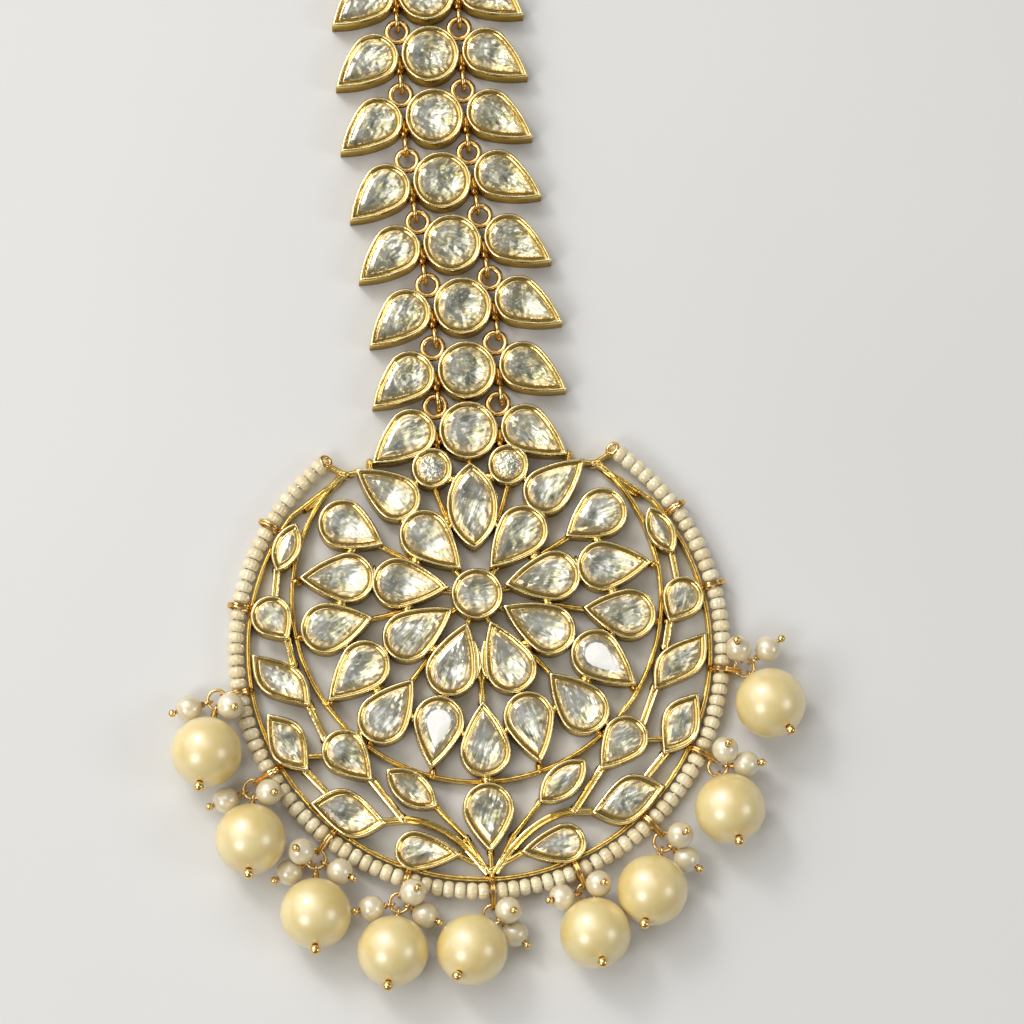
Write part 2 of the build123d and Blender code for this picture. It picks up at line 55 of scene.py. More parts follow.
# A bezel's section as (inset, height, shade): wall, rounded lip, groove and the foil's edge
# Its shade paints shade on the wall and a highlight on the lip's top; the groove's brown is partly
# tarnish and partly painted shade
BEZEL_SECTION = [
    (0.05, 0.0, 0.0), (0.0, 0.08, 0.0), (0.0, 1.3, 0.08), (0.0, 2.35, 0.35), (0.02, 2.58, 0.95),
    (0.07, 2.71, 1.0), (0.14, 2.78, 1.0), (0.22, 2.8, 1.0), (0.29, 2.77, 1.0), (0.34, 2.68, 0.8),
    (0.38, 2.53, 0.1), (0.44, 2.48, 0.3), (0.52, 2.44, 0.45), (0.59, 2.4, 0.35), (0.63, 2.38, 0.1),
    (0.66, 2.41, 0.5), (0.69, 2.47, 1.0), (0.73, 2.48, 1.0), (0.77, 2.42, 0.6), (0.8, 1.9, 0.2)]
LIP_FOOT = 2.5  # height above which a bezel's points belong to its lip
LIP_PRESS = 0.07  # how far the lip's top may be pressed down
LIP_WAVES = (3, 5, 8)  # waves of that pressing round the lip
# A stone's section as (inset, height): girdle and rounded edge, below the crown's facets
STONE_SECTION = [(0.76, 1.7), (0.74, 2.25), (0.75, 2.37), (0.8, 2.46), (0.88, 2.52)]
TABLE_INSET = 1.3
TABLE_HEIGHT = 2.68
TABLE_RISE = 0.1
TABLE_RINGS = (0.8, 0.6, 0.4, 0.2, 0.06)
TABLE_SLOPE = 0.012  # steepest lie of a table
LEVEL_ROWS = 2  # rows of the stone's section that stay level under an askew table
# Values of a stone's shade attribute: they mask the painted reflection of the gold bezel round the
# girdle, and a painted white reflection on some tables
EDGE_SHADE = 0.4
TABLE_SHADE = 1.0
PAINTED_FLASH_SHADE = 2.0
PAINTED_FLASH_START = 1.3  # shades between which a table is painted white, a painted reflection
PAINTED_FLASH_END = 1.9
GRAIN_TURN = 0.5  # radians that a stone's foil may be turned
GRAIN_SHIFT = 400

# Flower and pierced field
RIB_WIDTH = 0.6
STEM_WIDTH = 0.9
RIB_BURY = 0.35  # length of a rib that runs on into the bezels at its ends
# A rail's section as (across, height, shade), across in half widths: two round wires and a groove
# Its shade paints shade low on the sides and a highlight on the wires' tops; the groove's brown is
# partly tarnish and partly painted shade
RAIL_SECTION = [
    (-0.92, 0.0, 0.1), (-1.0, 0.1, 0.15), (-1.0, 0.8, 0.45), (-0.97, 1.3, 0.9), (-0.8, 1.53, 1.0),
    (-0.5, 1.6, 1.0), (-0.2, 1.52, 0.9), (0.0, 1.38, 0.2), (0.2, 1.52, 0.9), (0.5, 1.6, 1.0),
    (0.8, 1.53, 1.0), (0.97, 1.3, 0.9), (1.0, 0.8, 0.45), (1.0, 0.1, 0.15), (0.92, 0.0, 0.1)]
HUB_RIB = (2.8, 4.2)  # radii of a rib from the centre to an inner petal
FORK_RIB = (8.9, 12.6)  # radii of a rib from between two inner petals to an outer one
FORK_TURNS = (60, 100, 140, 220, 260, 300)  # degrees from the top
FIELD_RING_RADIUS = 21.2
FIELD_RING_Y = -0.3
RIM_RADIUS = 26.45
RIM_Y = -6.1
RIM_END = 52  # degrees from the top where the rim starts and ends
RING_STEPS = 150
CORNER = (14.4, 14.75)

# Solder of the pendant. A mound's size is its half length, half width and half height
MOUND_HEIGHT = 0.8  # of the mounds at the ends of the ribs
MOUND_LENGTH = 0.75
MOUND_SPREAD = 0.2  # by which such a mound is wider than its rib, on each side
MOUND_RISE = 0.79
BRIDGE_GAP = 0.8  # widest gap between two bezels that a mound bridges
BRIDGE_HEIGHT = 1.65
BRIDGE_BURY = 0.25
BRIDGE_WIDTH = 0.85
BRIDGE_RISE = 0.9
SEAM_OUT = 0.26  # from the two lowest inner petals to the seam where their lips meet
SEAM_RADIUS = 0.3
SEAM_HEIGHT = 2.4
SEAM_REACH = 0.5  # how far from the Y axis the seam still runs
SEAM_TAPER = 0.25  # radians of a half turn left out at each end of its swell
WEB = (16.9, 12.6, 0.75)  # the web between the field ring and the rim beside the corner
WEB_TURN = 39.5
WEB_SIZE = (3.4, 0.45, 0.7)
JOINT_TURNS = (82, 100, 123, 141, 163, 180, 197, 219, 237, 260, 278)  # where petals meet the ring
JOINT_INSET = 0.4
JOINT_HEIGHT = 0.87
JOINT_SIZE = (0.75, 0.5, 0.85)

# Seed bead string and its loops
BEAD_RADIUS = 27.85
STRING_END = 37.3
LOOP_PITCH = 20.5
END_LOOP = 7
DROP_LOOPS = 4
LOOP_HEIGHT = 1.5
LOOP_RADIUS = 1.27
LOOP_NOSE = 0.55
LOOP_REACH = 1.6
LOOP_STRAND = 0.16  # radius of each of a loop's two strands
LOOP_SPREAD = 0.155  # from the loop's middle to each strand
LOOP_FOOT = 0.25
LOOP_FOOT_SIZE = (0.4, 0.7, 0.5)
END_RING_RADIUS = 0.65
END_RING_HEIGHT = 1.7
END_RING_WIRE = 0.26
END_RING_LEAN = 50
BEADS_PER_SPAN = 7
LOOP_ROOM = 0.76  # length of string that a loop takes
BEAD_MIDDLE = 0.6  # radius of the middle of a bead's section, between hole and outside
BEAD_THICKNESS = 0.35
BEAD_FLUTES = 14
FLUTE_DEPTH = 0.03
BEAD_FILL = (0.86, 0.94)  # part of its pitch that a bead fills
BEAD_WANDER = 0.06  # degrees that a bead lies from its place
BEAD_LEAN = 0.035
BEAD_UNEVEN = 0.02
THREAD_RADIUS = 0.28
THREAD_STEPS = 160

# Chain links
LINK_PEAR_X = 6.55
LINK_RING = (3.65, 3.1)
LINK_RING_RADIUS = 1.2
LINK_LOOP = (3.65, -3.15)
LINK_LOOP_RADIUS = 1.1
LINK_WIRE = 0.28
RING_WIRE = 0.35
LINK_WIRE_HEIGHT = 1.45
PLATE_Y = -0.85
PLATE_HEIGHT = 0.9
PLATE_SIZE = (0.72, 1.4, 0.85)
TOP_ROW_Y = 19.1

# Pearl drops
DROP_RING_RADIUS = 1.1
DROP_WIRE = 0.2
EYE_RADIUS = 0.5
EYE_WIRE = 0.16
SHANK_WIRE = 0.2
WRAP_WIRE = 0.13
WRAP_RADIUS = 0.27
WRAP_PITCH = 0.24
WRAP_GAP = 0.05  # left clear at each end of the wraps
MIN_WRAPS = 1.5
WRAP_STEPS = 14  # points round a wrap
HOLE_RADIUS = 0.35
HOLE_SINK = 0.8  # of the hole's and the pearl's radius, where the countersink ends
BIG_PEARL = 4.0
SMALL_PEARL = 1.5
SMALL_REACH = 2.3
BIG_BALL = 0.595
SMALL_BALL = 0.445
BALL_GAP = 0.05
BALL_POLE = 0.12  # radians from each pole of a ball where it is cut flat

# Hair hook
HOOK_WIRE = 0.5
HOOK_HEIGHT = 0.55
HOOK_BAR = 4.2
HOOK_BAR_Y = 0.85
HOOK_STEM_END = 6.5
HOOK_BEND = 3.5
HOOK_POINT = 6.0

Setting = namedtuple("Setting", "shape x y heading length width skew")
Place = namedtuple("Place", "x y turn")
Drop = namedtuple("Drop", "loop heading tilt reach pearl small")
Spoke = namedtuple("Spoke", "heading lift")
Rib = namedtuple("Rib", "x y end_x end_y width")


class Axes:
    """A place and three directions; at() takes points from it to the frame."""

    def __init__(self, origin, x, z):
        self.origin, self.x, self.z = [np.array(part, float) for part in (origin, x, z)]
        self.y = np.cross(self.z, self.x)

    def at(self, points):
        points = np.asarray(points, float).reshape(-1, 3)
        return self.origin + points @ np.array([self.x, self.y, self.z])

    def moved(self, x, y, z=0):
        return Axes(self.at((x, y, z))[0], self.x, self.z)

    def turned(self, heading):
        turn = radians(heading)
        return Axes(self.origin, self.x * cos(turn) + self.y * sin(turn), self.z)


def flat_axes(place):
    return Axes((place.x, place.y, 0), (1, 0, 0), (0, 0, 1)).turned(place.turn)


FLAT = flat_axes(Place(0, 0, 0))


class Shell:
    """The closed surfaces of one piece, with a shade and a grain place for each point."""

    def __init__(self):
        self.points, self.faces, self.shades, self.grains, self.count = [], [], [], [], 0

    def add(self, points, faces, shades=1.0, grains=None):
        self.points.append(points)
        self.faces += [[self.count + i for i in face] for face in faces]
        self.shades.append(np.broadcast_to(shades, len(points)))
        self.grains.append(points if grains is None else grains)
        self.count += len(points)


def grid_faces(rows, columns, ring):
    """Quads between point rows, each row closed on itself; a ring's last row meets the first."""
    i, j = np.meshgrid(np.arange(rows if ring else rows - 1), np.arange(columns), indexing="ij")
    row, above, beside = i * columns, (i + 1) % rows * columns, (j + 1) % columns
    quads = np.stack([row + j, row + beside, above + beside, above + j], -1)
    faces = quads.reshape(-1, 4).tolist()
    if not ring:
        faces += [list(range(columns))[::-1], list(range((rows - 1) * columns, rows * columns))]
    return faces


def skin(shell, rows, ring=False, shades=1.0, grains=None):
    """A surface through rows of points, capped at both ends unless it is a ring."""
    rows = np.asarray(rows, float)
    shades = np.repeat(np.broadcast_to(shades, len(rows)), rows.shape[1])
    shell.add(rows.reshape(-1, 3), grid_faces(len(rows), rows.shape[1], ring), shades, grains)


def spin(shell, axes, section, sides=24, ring=False, shades=1.0, flutes=0, flute_depth=0.0):
    """A section of (radius, height) turned about the axes' Z."""
    turns = np.linspace(0, 2 * pi, sides, endpoint=False)
    swell = 1 + flute_depth * np.cos(flutes * turns)
    rows = []
    for radius, height in section:
        radii = radius * swell
        level_ring = [radii * np.cos(turns), radii * np.sin(turns), np.full(sides, height)]
        rows.append(axes.at(np.stack(level_ring, -1)))
    skin(shell, rows, ring, shades)


ASKEW = (0.31, 0.17, 0.94)  # a direction that no wire starts along


def tube(shell, path, radius, closed=False, sides=10, shades=1.0):
    """A round wire along points; radius is one value or one for each point."""
    path = np.asarray(path, float)
    if closed:
        run = np.roll(path, -1, 0) - np.roll(path, 1, 0)
    else:
        run = np.gradient(path, axis=0)
    run /= np.linalg.norm(run, axis=1)[:, None]
    side = np.cross(run[0], ASKEW)
    turns = np.linspace(0, 2 * pi, sides, endpoint=False)
    radii = np.broadcast_to(radius, len(path))
    rows = []
    for point, along, wide in zip(path, run, radii):
        side = side - along * side.dot(along)
        side /= np.linalg.norm(side)
        up = np.cross(along, side)
        rows.append(point + wide * (np.cos(turns)[:, None] * side + np.sin(turns)[:, None] * up))
    skin(shell, rows, closed, shades)


def loop_wire(shell, axes, radius, wire, sides=10, points=40, shades=1.0):
    """A ring of wire about the axes' origin, in their X and Y."""
    turns = np.linspace(0, 2 * pi, points, endpoint=False)
    ring = np.stack([radius * np.cos(turns), radius * np.sin(turns), 0 * turns], -1)
    tube(shell, axes.at(ring), wire, True, sides, shades)


def blob(shell, axes, size, shade, sides=14, rows=7, pole=0.15):
    """A low mound of solder, as half sizes along the axes, cut flat just short of its poles."""
    turns = np.linspace(0, 2 * pi, sides, endpoint=False)
    rings = []
    for lift in np.linspace(-pi / 2 + pole, pi / 2 - pole, rows):
        across, beside = size[0] * cos(lift) * np.cos(turns), size[1] * cos(lift) * np.sin(turns)
        rings.append(axes.at(np.stack([across, beside, np.full(sides, size[2] * sin(lift))], -1)))
    skin(shell, rings, shades=shade)


def rail(shell, path, width):
    """A pair of soldered wires on edge along a flat run of points."""
    path = np.asarray(path, float)
    run = np.gradient(path, axis=0)
    run /= np.linalg.norm(run, axis=1)[:, None]
    half = width / 2
    rows = []
    for (x, y), (along_x, along_y) in zip(path, run):
        rows.append([(x - along_y * across * half, y + along_x * across * half, height)
                     for across, height, _ in RAIL_SECTION])
    count = len(path)
    shell.add(np.array(rows).reshape(-1, 3), grid_faces(count, len(RAIL_SECTION), False),
              np.tile([shade for _, _, shade in RAIL_SECTION], count))


def straight(start, end, steps=6):
    return np.linspace(start, end, steps)


def arc(centre, radius, start, end, steps):
    turns = np.linspace(start, end, steps)
    return np.stack([centre[0] + radius * np.cos(turns), centre[1] + radius * np.sin(turns)], -1)


def polar(centre, radius, angle):
    return centre[0] + radius * cos(angle), centre[1] + radius * sin(angle)


def smooth_run(points, steps=10):
    """A smooth line through points, as a Catmull-Rom spline."""
    points = np.asarray(points, float)
    ends = np.vstack([2 * points[0] - points[1], points, 2 * points[-1] - points[-2]])
    run = []
    for a, b, c, d in zip(ends, ends[1:], ends[2:], ends[3:]):
        for t in np.linspace(0, 1, steps, endpoint=False):
            run.append(0.5 * (2 * b + (c - a) * t + (2 * a - 5 * b + 4 * c - d) * t**2
                              + (3 * b - a - 3 * c + d) * t**3))
    return np.array(run + [points[-1]])


# Outlines of the settings, drawn in by an inset, with corners at the same points for every inset

def pear_outline(setting, inset):
    round_radius = setting.width / 2
    tip = setting.length - round_radius
    flank_radius = FLANK_CURVE * setting.length
    flank_x = (tip**2 - 2 * round_radius * flank_radius + round_radius**2) / (2 * tip)
    flank_y = -sqrt((flank_radius - round_radius) ** 2 - flank_x**2)
    shoulder = atan2(-flank_y, -flank_x)
    tip_angle = asin(-flank_y / (flank_radius - inset))
    radius = flank_radius - inset
    upper = arc((flank_x, flank_y), radius, tip_angle, shoulder, FLANK_POINTS + 1)[:-1]
    end = arc((0, 0), round_radius - inset, shoulder, 2 * pi - shoulder, END_POINTS + 1)[:-1]
    lower = arc((flank_x, -flank_y), radius, -shoulder, -tip_angle, FLANK_POINTS + 1)[:-1]
    return np.vstack([upper, end, lower])


def marquise_outline(setting, inset):
    radius = (setting.length**2 + setting.width**2) / (4 * setting.width)
    drop = radius - setting.width / 2
    start = asin(drop / (radius - inset))
    upper = arc((0, -drop), radius - inset, start, pi - start, HALF_POINTS + 1)[:-1]
    return np.vstack([upper, -upper])


def leaf_outline(setting, inset):
    length = setting.length - LEAF_TIP_INSET * inset
    width = setting.width - 2 * inset
    middle, shoulder, swell = setting.skew * length, LEAF_SHOULDER * length, LEAF_SWELL * width
    t = np.linspace(0, 1, HALF_POINTS, endpoint=False)[:, None]
    tip, near, far, tail = [np.array(p) for p in (
        (length / 2, 0), (middle + shoulder, swell), (middle - shoulder, swell), (-length / 2, 0))]
    upper = tip * (1 - t)**3 + near * 3 * t * (1 - t)**2 + far * 3 * t**2 * (1 - t) + tail * t**3
    return np.vstack([upper, -upper])


def round_outline(setting, inset):
    return arc((0, 0), setting.width / 2 - inset, 0, 2 * pi, ROUND_POINTS + 1)[:-1]


OUTLINES = {
    "pear": pear_outline,
    "marquise": marquise_outline,
    "leaf": leaf_outline,
    "round": round_outline,
}
# Points of each outline where the table has a corner
CORNERS = {
    "pear": [0, 6, 12, 16, 20, 24, 28, 32, 36, 40, 46, 52],
    "marquise": [0, 5, 10, 16, 21, 26, 31, 36, 42, 47, 52],
    "leaf": [0, 5, 10, 16, 21, 26, 31, 36, 42, 47, 52],
    "round": list(range(0, ROUND_POINTS + 1, 5)),
}


def level(points, height):
    return np.column_stack([points, np.full(len(points), height)])


def setting_axes(base, setting):
    return base.moved(setting.x, setting.y).turned(setting.heading)


def bezel(shell, base, setting):
    """A collet of sheet with a rounded lip, closed at the back and round the stone."""
    outline = OUTLINES[setting.shape]
    _, heights, shades = zip(*BEZEL_SECTION)
    rows = np.array([level(outline(setting, inset), height) for inset, height, _ in BEZEL_SECTION])
    # The lip's top is pressed a little unevenly, as by hand
    turns = np.linspace(0, 2 * pi, rows.shape[1], endpoint=False)
    starts = rng.uniform(0, 2 * pi, len(LIP_WAVES))
    waves = sum(np.sin(count * turns + start) for count, start in zip(LIP_WAVES, starts))
    uneven = 0.5 + waves / (2 * len(LIP_WAVES))
    for row, height in zip(rows, heights):
        if height > LIP_FOOT:
            row[:, 2] -= LIP_PRESS * uneven
    points = setting_axes(base, setting).at(rows.reshape(-1, 3))
    skin(shell, points.reshape(rows.shape), shades=shades)


def straight_sided(points, corners):
    """The outline's points moved on to straight sides between its corners."""
    cut = points.copy()
    for start, end in zip(corners, corners[1:]):
        steps = np.linspace(0, 1, end - start, endpoint=False)[:, None]
        cut[start:end] = points[start] + (points[end % len(points)] - points[start]) * steps
    return cut


def stone(shell, base, setting, painted_flash=False):
    """A flat-cut stone: rounded girdle, crown facets, and a table that lies a little askew."""
    outline, corners = OUTLINES[setting.shape], CORNERS[setting.shape]
    rows = [level(outline(setting, inset), height) for inset, height in STONE_SECTION]
    table = straight_sided(outline(setting, TABLE_INSET), corners)
    middle = table.mean(0)
    rows.append(level(table, TABLE_HEIGHT))
    for part in TABLE_RINGS:
        height = TABLE_HEIGHT + TABLE_RISE * (1 - part**2)
        rows.append(level(middle + (table - middle) * part, height))
    rows = np.array(rows)
    slope = rng.uniform(-TABLE_SLOPE, TABLE_SLOPE, 2)
    rows[LEVEL_ROWS:, :, 2] += rows[LEVEL_ROWS:, :, :2] @ slope
    local = rows.reshape(-1, 3)
    turn = rng.uniform(-GRAIN_TURN, GRAIN_TURN)
    x, y = (local[:, :2] - middle).T
    along, across = x * cos(turn) + y * sin(turn), y * cos(turn) - x * sin(turn)
    grains = np.column_stack([along, across, np.full(len(local), rng.uniform(0, GRAIN_SHIFT))])
    # Some tables get shade 2 and are painted white, a painted reflection
    table_shade = PAINTED_FLASH_SHADE if painted_flash else TABLE_SHADE
    shades = [0.0] * len(STONE_SECTION) + [EDGE_SHADE] + [table_shade] * len(TABLE_RINGS)
    points = setting_axes(base, setting).at(local)
    skin(shell, points.reshape(rows.shape), shades=shades, grains=grains)


# Materials

def new_material(name, **values):
    """A material and its Principled shader, with plain values set on the shader's own sockets."""
    made = bpy.data.materials.new(name)
    made.use_nodes = True
    shader = made.node_tree.nodes["Principled BSDF"]
    for socket, value in values.items():
        shader.inputs[socket.replace("_", " ")].default_value = value
    return made, shader


def node(material, kind, inputs=None, **values):
    """A node with its attributes, and with inputs given as values or as sockets to link."""
    made = material.node_tree.nodes.new(kind)
    for name, value in values.items():
        setattr(made, name, value)
    for name, value in (inputs or {}).items():
        if isinstance(value, bpy.types.NodeSocket):
            material.node_tree.links.new(value, made.inputs[name])
        else:
            made.inputs[name].default_value = value
    return made


def ramp(material, factor, *stops):
    """A colour ramp through stops of (place, colour)."""
    made = node(material, "ShaderNodeValToRGB", {"Fac": factor})
    elements = made.color_ramp.elements
    while len(elements) < len(stops):
        elements.new(0.5)
    for element, (place, colour) in zip(elements, stops):
        element.position, element.color = place, (*colour, 1)
    return made.outputs["Color"]


def noise(material, vector, scale, detail=3.0, roughness=0.5):
    """Clouds from 0 to 1; the scale is in waves a metre, or a millimetre where it follows grain."""
    made = node(material, "ShaderNodeTexNoise", {
        "Vector": vector, "Scale": scale, "Detail": detail, "Roughness": roughness})
    return made.outputs["Fac"]


def spread(material, value, low, high, start=0.0, end=1.0):
    """Takes values from start to end on to low to high, and holds them there outside."""
    made = node(material, "ShaderNodeMapRange", {
        "Value": value, "From Min": start, "From Max": end, "To Min": low, "To Max": high})
    return made.outputs["Result"]


def bump(material, height, distance, strength=1.0, below=None):
    """A bump, on top of the one below it if there is one."""
    inputs = {"Height": height, "Distance": distance, "Strength": strength}
    if below:
        inputs["Normal"] = below
    return node(material, "ShaderNodeBump", inputs).outputs["Normal"]


def maths(material, operation, first, second=0.0):
    made = node(material, "ShaderNodeMath", {0: first, 1: second}, operation=operation)
    return made.outputs[0]


def attribute(material, name, output):
    return node(material, "ShaderNodeAttribute", attribute_name=name).outputs[output]


def object_place(material):
    return node(material, "ShaderNodeTexCoord").outputs["Object"]


def mixed(material, factor, first, second, blend="MIX"):
    """A colour mixed from two, each a value or a socket."""
    made = node(material, "ShaderNodeMix", data_type="RGBA", blend_type=blend)
    for socket, value in ((0, factor), (6, first), (7, second)):
        if isinstance(value, bpy.types.NodeSocket):
            material.node_tree.links.new(value, made.inputs[socket])
        else:
            made.inputs[socket].default_value = (*value, 1) if socket else value
    return made.outputs[2]


def link(material, output, shader, name):
    material.node_tree.links.new(output, shader.inputs[name])


GOLD_GLANCE = (1.0, 0.8, 0.42, 1)  # the gold's tint at a glancing angle


def gold_material(name, gold_and_painted_highlight, mid, tarnish_and_painted_shade):
    """Polished yellow gold, uneven as soldered wire is, with painted light from its shade attribute:
    a painted highlight on lip and wire tops, painted shade on walls and sides, and a brown in the
    grooves that is partly tarnish and partly painted shade.
    """
    made, shader = new_material(name, Metallic=1.0, Specular_Tint=GOLD_GLANCE)
    where = object_place(made)
    shade = attribute(made, "shade", "Fac")
    patches = noise(made, where, 900, 2.0)
    # The shade attribute paints a highlight on tops and shade on walls, sides and grooves (the
    # grooves' brown is partly tarnish); the noise patches are the gold's own unevenness
    painted_shade_and_patches = maths(made, "ADD", shade, spread(made, patches, -0.16, 0.16))
    link(made, ramp(made, painted_shade_and_patches, (0.0, tarnish_and_painted_shade), (0.5, mid), (0.95, gold_and_painted_highlight)), shader, "Base Color")
    link(made, spread(made, patches, 0.22, 0.1), shader, "Roughness")
    link(made, bump(made, noise(made, where, 1600, 4.0), 0.00004), shader, "Normal")
    return made


def stone_material(name, stretch, crinkle, bowl, clear, grey, warm, bezel_reflection, paints_flash=False):
    """Clear flat-cut stone over bowed silver foil: soft patches, fine streaks, painted glints and a
    warm rim that is a painted reflection of the gold bezel.

    The shade attribute is 0 at the girdle and 1 on a table, or 2 on one painted white as a painted
    reflection of a lamp; it masks the painted bezel reflection and that painted white.
    """
    made, shader = new_material(
        name, Metallic=0.75, Coat_Weight=1.0, Coat_Roughness=0.03, Coat_IOR=1.6)
    grain = attribute(made, "grain", "Vector")
    table = attribute(made, "shade", "Fac")
    stretched = node(made, "ShaderNodeMapping", {"Vector": grain, "Scale": stretch}).outputs["Vector"]
    streaks = noise(made, stretched, 1.5, 2.0)
    foil = ramp(made, noise(made, grain, 0.45, 1.0), (0.36, grey), (0.6, clear))
    warmth = spread(made, noise(made, grain, 0.6, 2.0), 0.0, 0.75, 0.46, 0.64)
    tinted = mixed(made, warmth, foil, warm)
    lines = ramp(made, streaks, (0.34, (0.5, 0.5, 0.46)), (0.56, (1, 1, 1)))
    lined = mixed(made, 0.22, tinted, lines, "MULTIPLY")
    # Painted glints: thin pale-yellow lines along the foil's creases, standing in for reflections of
    # the lamps
    glint_wave = maths(made, "SUBTRACT", noise(made, grain, 0.9, 1.0), 0.5)
    glint_line = spread(made, maths(made, "ABSOLUTE", glint_wave), 0.9, 0.0, 0.004, 0.026)
    painted_glint = maths(made, "MULTIPLY", glint_line, spread(made, streaks, 0.0, 1.0, 0.46, 0.56))
    with_painted_glints = mixed(made, painted_glint, lined, (1.0, 0.98, 0.72))
    # Tables with shade 2 are painted near white: a painted reflection of a lamp
    painted_flash = spread(made, table, 0.0, 0.9, PAINTED_FLASH_START, PAINTED_FLASH_END)
    with_painted_flash = mixed(made, painted_flash, with_painted_glints, (1.0, 0.98, 0.92))
    # Painted reflection of the gold bezel: a warm colour strongest at the girdle, fading out on the
    # table
    with_bezel_reflection = mixed(made, spread(made, table, 0.85, 0.0, 0.1, 1.0), with_painted_flash, bezel_reflection)
    link(made, with_bezel_reflection, shader, "Base Color")
    link(made, spread(made, streaks, 0.18, 0.36, 0.3, 0.7), shader, "Roughness")
    # Where a table is painted white the foil is made nearly non-metallic, part of that painted
    # reflection
    if paints_flash:
        link(made, spread(made, table, 0.75, 0.1, PAINTED_FLASH_START, PAINTED_FLASH_END), shader, "Metallic")
    # The foil's bowl, its broad dents and its fine crinkles, nearly flat where a table is painted
    # white
    vector_maths = "ShaderNodeVectorMath"
    flat = node(made, vector_maths, {0: grain, 1: (1, 1, 0)}, operation="MULTIPLY").outputs[0]
    depth = node(made, vector_maths, {0: flat, 1: flat}, operation="DOT_PRODUCT").outputs["Value"]
    relief = spread(made, table, 1.0, 0.12, PAINTED_FLASH_START, PAINTED_FLASH_END)
    normal = bump(made, depth, bowl, relief)
    normal = bump(made, noise(made, grain, 0.42, 2.0), 0.0006, relief, normal)
    normal = bump(made, noise(made, stretched, 1.3, 1.0), crinkle, relief, normal)
    link(made, normal, shader, "Normal")
    return made


def pearl_material(name, colour, blush, roughness):
    """Nacre: a soft body colour under a clear gloss, clouded and faintly uneven."""
    made, shader = new_material(
        name, Roughness=roughness, IOR=2.2, Coat_Weight=1.0, Coat_Roughness=0.26, Coat_IOR=1.8,
        Subsurface_Weight=0.1, Subsurface_Scale=0.0008)
    where = object_place(made)
    clouds = noise(made, where, 260, 3.0)
    link(made, ramp(made, clouds, (0.36, blush), (0.6, colour)), shader, "Base Color")
    link(made, bump(made, noise(made, where, 700, 3.0), 0.00002), shader, "Normal")
    return made


def seed_material():
    """Cream-pink glossy seed beads, each a little lighter or darker than its neighbours."""
    made, shader = new_material(
        "seed_bead", Roughness=0.22, IOR=1.6, Coat_Weight=1.0, Coat_Roughness=0.07,
        Subsurface_Weight=0.1, Subsurface_Scale=0.0005)
    where = object_place(made)
    shade = attribute(made, "shade", "Fac")
    body = ramp(
        made, shade, (0.0, (0.77, 0.62, 0.35)), (0.5, (0.85, 0.72, 0.44)), (1.0, (0.9, 0.8, 0.54)))
    speckle = spread(made, noise(made, where, 2200, 3.0), 0.0, 0.35)
    link(made, mixed(made, speckle, body, (0.89, 0.79, 0.55)), shader, "Base Color")
    link(made, bump(made, noise(made, where, 1500, 3.0), 0.00003), shader, "Normal")
    return made


gold = gold_material(
    "gold", gold_and_painted_highlight=(1.0, 0.86, 0.46), mid=(0.79, 0.58, 0.19), tarnish_and_painted_shade=(0.3, 0.2, 0.055))
# The wires' gold is darker and more orange than the bezels': partly their own colour, partly painted
# shade for rings and loops that sit in shadow
shaded_orange_gold = gold_material(
    "shaded_orange_gold", gold_and_painted_highlight=(0.92, 0.66, 0.29), mid=(0.68, 0.43, 0.13), tarnish_and_painted_shade=(0.3, 0.17, 0.05))
foil_stone = stone_material(
    "foil_stone", stretch=(0.4, 1.5, 1.0), crinkle=0.0001, bowl=0.0001, clear=(0.79, 0.78, 0.68),
    grey=(0.24, 0.24, 0.17), warm=(0.62, 0.57, 0.29), bezel_reflection=(0.68, 0.53, 0.27), paints_flash=True)
link_stone = stone_material(
    "link_stone", stretch=(0.8, 1.2, 1.0), crinkle=0.00018, bowl=0.0001, clear=(0.66, 0.64, 0.5),
    grey=(0.17, 0.17, 0.11), warm=(0.46, 0.4, 0.15), bezel_reflection=(0.56, 0.44, 0.21))
accent_stone = stone_material(
    "accent_stone", stretch=(1.7, 1.7, 1.0), crinkle=0.0003, bowl=0.00003, clear=(0.84, 0.82, 0.7),
    grey=(0.36, 0.36, 0.3), warm=(0.74, 0.68, 0.45), bezel_reflection=(0.7, 0.57, 0.32))
big_nacre = pearl_material(
    "big_nacre", colour=(0.86, 0.7, 0.3), blush=(0.8, 0.59, 0.19), roughness=0.45)
small_nacre = pearl_material(
    "small_nacre", colour=(0.8, 0.71, 0.48), blush=(0.7, 0.59, 0.37), roughness=0.3)
seed_glaze = seed_material()


def piece(name, shell, nodes, material, sharp=38):
    """Makes the shell a mesh that rides on the frame and stands for CAD nodes."""
    mesh = bpy.data.meshes.new(name)
    mesh.from_pydata((np.vstack(shell.points) * MM).tolist(), [], shell.faces)
    shade = mesh.attributes.new("shade", "FLOAT", "POINT")
    shade.data.foreach_set("value", np.concatenate(shell.shades).astype(np.float32))
    grain = mesh.attributes.new("grain", "FLOAT_VECTOR", "POINT")
    grain.data.foreach_set("vector", np.vstack(shell.grains).astype(np.float32).ravel())
    editable = bmesh.new()
    editable.from_mesh(mesh)
    bmesh.ops.recalc_face_normals(editable, faces=editable.faces)
    editable.to_mesh(mesh)
    editable.free()
    mesh.polygons.foreach_set("use_smooth", [True] * len(mesh.polygons))
    mesh.set_sharp_from_angle(angle=radians(sharp))
    mesh.materials.append(material)
    made = bpy.data.objects.new(name, mesh)
    bpy.context.scene.collection.objects.link(made)
    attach(made, "root")
    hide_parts(*nodes)
    return made


def gem(shape, x, y, heading, length, width, skew=0):
    """A setting: a pear's x, y is the centre of its round end, and it points along its heading."""
    return Setting(shape, x, y, heading, length, width, skew)


